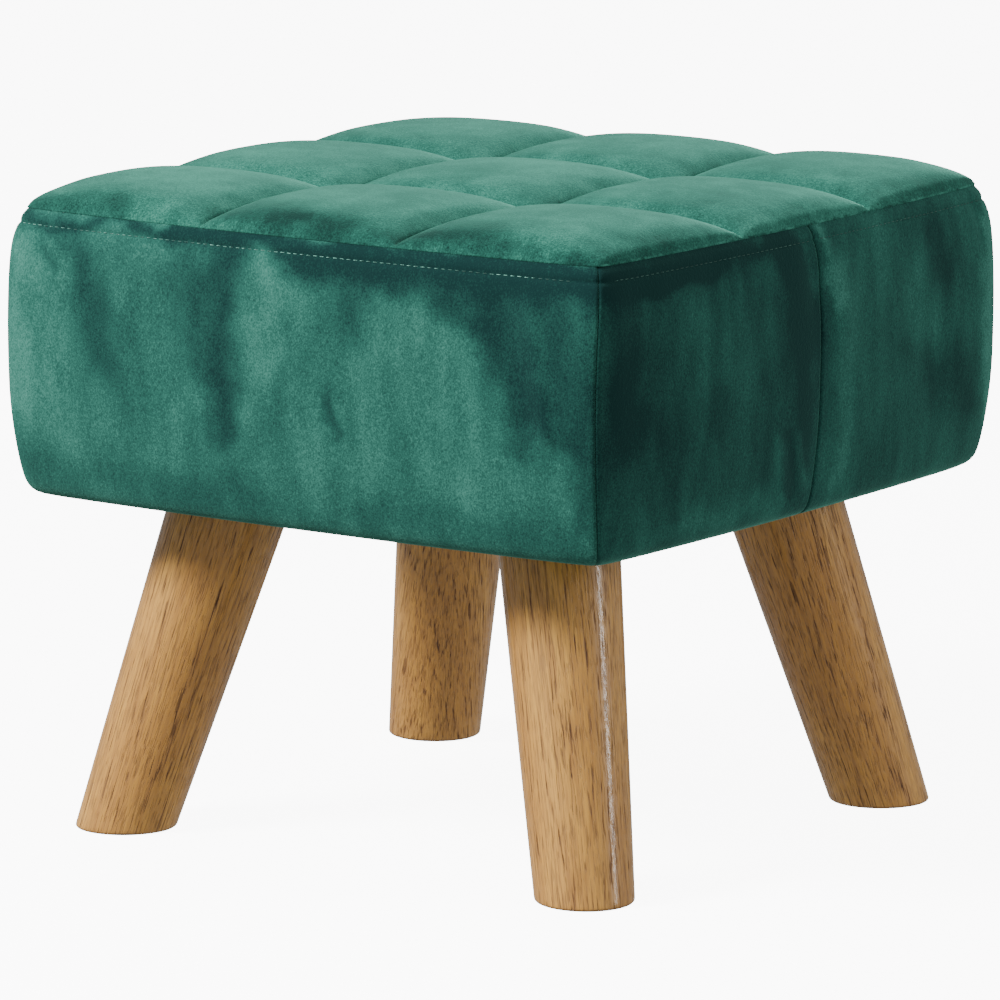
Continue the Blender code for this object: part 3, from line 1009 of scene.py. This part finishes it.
def oak_finish():
    """Lacquered oak, its figure laid out in the stored place in the plank."""
    finish = Finish("oak", Roughness=0.42, Coat_Roughness=0.15)
    timber = finish.node("Attribute", {"attribute_name": "timber"}, output=1)
    sway = finish.grain(timber, 0.16, 34, detail=3.0)
    fine_sway = finish.grain(timber, 0.08, 160)
    parts = [finish.node("SeparateXYZ", None, {"Vector": timber}, output=k) for k in (0, 1)]
    heart = (parts[0] * parts[0] + parts[1] * parts[1]) ** 0.5
    rings = heart * RINGS_PER_METRE + sway * 5.5 + fine_sway * 0.9
    ring = finish.node("Math", {"operation": "FRACT"}, {0: rings})
    early = finish.between(ring, 0.0, 0.22, 1.0, 0.0) + finish.between(ring, 0.82, 1.0)
    long_pores = finish.grain(timber, 0.05, 1050, detail=1.0)
    short_pores = finish.grain(timber, 0.07, 1700, detail=1.0)
    dashes = finish.between(long_pores, 0.565, 0.625) * (early * 0.5 + 0.50)
    dashes = dashes + finish.between(short_pores, 0.56, 0.65) * (early * 0.4 + 0.45)
    streaks = finish.grain(timber, 0.02, 700, detail=3.0, roughness=0.65)
    fibre = finish.grain(timber, 0.03, 1700, roughness=0.6)
    broad = finish.grain(timber, 0.2, 45)
    wood = finish.blend(finish.between(broad, 0.3, 0.7), LATE_DARK, LATE_PALE)
    wood = finish.blend(early * 0.40, wood, EARLY)
    wood = finish.blend(finish.between(streaks, 0.42, 0.62) * 0.40, wood, FIBRE)
    wood = finish.blend(finish.between(fibre, 0.42, 0.62) * 0.35, wood, FIBRE)
    wood = finish.blend(dashes * 0.75, wood, PORE)
    # Oak seen edge-on is painted paler: a painted reflection of the white room in the
    # lacquer. Under the foot's edge lies a dark line of painted contact shade.
    facing = finish.node("LayerWeight", None, {"Blend": 0.5}, output=1)
    wood = finish.blend(finish.between(facing, 0.72, 1.0) * 0.45, wood, PAINTED_EDGE_REFLECTION)
    above_floor = finish.node("SeparateXYZ", None, {"Vector": finish.object_place()},
                              output=2)
    # Painted contact shade: dark at the floor, gone 1.6 mm up.
    foot = finish.between(above_floor, 0.0002, 0.0016, 0.75, 0.0)
    finish.paint("Base Color", finish.blend(foot, wood, FOOT_CONTACT_SHADE))
    finish.paint("Roughness", dashes * 0.25 + 0.40)
    lacquer = finish.grain(timber, 0.3, 1500)
    film = finish.between(lacquer, 0.40, 0.58, 0.12, 0.72)
    finish.paint("Coat Weight", film * (1 - dashes * 0.5))
    height = 1 - dashes * 0.9 - early * 0.15 - fibre * 0.2
    finish.paint("Normal", finish.node("Bump", None, {
        "Strength": 0.5, "Distance": 0.0004, "Height": height}))
    return finish.material


oak = oak_finish()
print("oak nodes:", len(oak.node_tree.nodes))

# %% [markdown]
# ## The legs
# A leg is a plain taper, thicker at the seat, that leans out to its corner and is
# sawn level at both ends. A cone is added along the leaning line, longer than the
# leg. Two cuts make it level, and a bevel eases the edge round the foot. A third cut,
# which takes nothing away, keeps the bevel's shading off the long faces above it.

# %% Leg
LEG_SPREAD_TOP, LEG_SPREAD_FOOT = (0.0838, 0.0832), (0.1195, 0.1152)
LEG_RADIUS_TOP, LEG_RADIUS_FOOT, OVERRUN = 0.0257, 0.0208, 0.0200
LEG_TOP = UNDERSIDE - GAP
LEG_SIDES, FOOT_EASE, ABOVE_EASE = 96, 0.0012, 0.0026


def turned_leg(name, side_x, side_y, plank):
    """One leg; side_x and side_y, each 1 or -1, say which corner it stands at."""
    foot = Vector((side_x * LEG_SPREAD_FOOT[0], side_y * LEG_SPREAD_FOOT[1], 0.0))
    head = Vector((side_x * LEG_SPREAD_TOP[0], side_y * LEG_SPREAD_TOP[1], LEG_TOP))
    axis = head - foot
    taper = (LEG_RADIUS_TOP - LEG_RADIUS_FOOT) / axis.length
    leaning = axis.to_track_quat("Z", "Y")
    bpy.ops.object.select_all(action="DESELECT")
    bpy.ops.mesh.primitive_cone_add(
        vertices=LEG_SIDES, radius1=LEG_RADIUS_FOOT - taper * OVERRUN,
        radius2=LEG_RADIUS_TOP + taper * OVERRUN, depth=axis.length + 2 * OVERRUN,
        location=(foot + head) / 2, rotation=leaning.to_euler())
    leg = bpy.context.object
    leg.name = leg.data.name = name
    bpy.ops.object.transform_apply(location=True, rotation=True, scale=True)
    bpy.ops.object.mode_set(mode="EDIT")
    for height, above in ((LEG_TOP, True), (0.0, False)):
        bpy.ops.mesh.select_all(action="SELECT")
        bpy.ops.mesh.bisect(plane_co=(0, 0, height), plane_no=(0, 0, 1), use_fill=True,
                            clear_outer=above, clear_inner=not above)
    bpy.ops.mesh.select_all(action="SELECT")
    bpy.ops.mesh.bisect(plane_co=(0, 0, ABOVE_EASE), plane_no=(0, 0, 1))
    bpy.ops.mesh.select_all(action="DESELECT")
    bpy.ops.object.mode_set(mode="OBJECT")
    on_floor = [abs(vertex.co.z) < 1e-6 for vertex in leg.data.vertices]
    for line in leg.data.edges:
        line.select = all(on_floor[index] for index in line.vertices)
    bpy.ops.object.mode_set(mode="EDIT")
    bpy.ops.mesh.select_mode(type="EDGE")
    bpy.ops.mesh.bevel(offset=FOOT_EASE, segments=3, profile=0.5, affect="EDGES")
    bpy.ops.object.mode_set(mode="OBJECT")
    bpy.ops.object.shade_smooth_by_angle(angle=math.radians(40))
    turn, slant, *place_in_plank = plank
    to_plank = Matrix.Rotation(math.radians(slant), 4, "X")
    to_plank = to_plank @ Matrix.Rotation(math.radians(turn), 4, "Z")
    to_plank = to_plank @ leaning.to_matrix().to_4x4().inverted()
    layer = leg.data.attributes.new("timber", "FLOAT_VECTOR", "POINT")
    for vertex, value in zip(leg.data.vertices, layer.data):
        value.vector = to_plank @ (vertex.co - foot) + Vector(place_in_plank)
    finish_piece(leg, oak, "oak", name.replace("turned_", ""))
    return leg


# Each leg: its corner, then turn and slant in the plank in degrees, and its place there.
PLANKS = {
    "turned_leg_front_left": (-1, -1, (20, 1.0, 0.060, 0.012, 0.3)),
    "turned_leg_front_right": (1, -1, (100, 1.5, 0.052, -0.010, 1.7)),
    "turned_leg_back_left": (-1, 1, (200, 8.0, 0.012, 0.014, 2.9)),
    "turned_leg_back_right": (1, 1, (320, 2.0, 0.070, 0.006, 4.4)),
}
for name, (side_x, side_y, plank) in PLANKS.items():
    leg = turned_leg(name, side_x, side_y, plank)
    print(name, "size in mm:", [round(MM * size, 1) for size in leg.dimensions])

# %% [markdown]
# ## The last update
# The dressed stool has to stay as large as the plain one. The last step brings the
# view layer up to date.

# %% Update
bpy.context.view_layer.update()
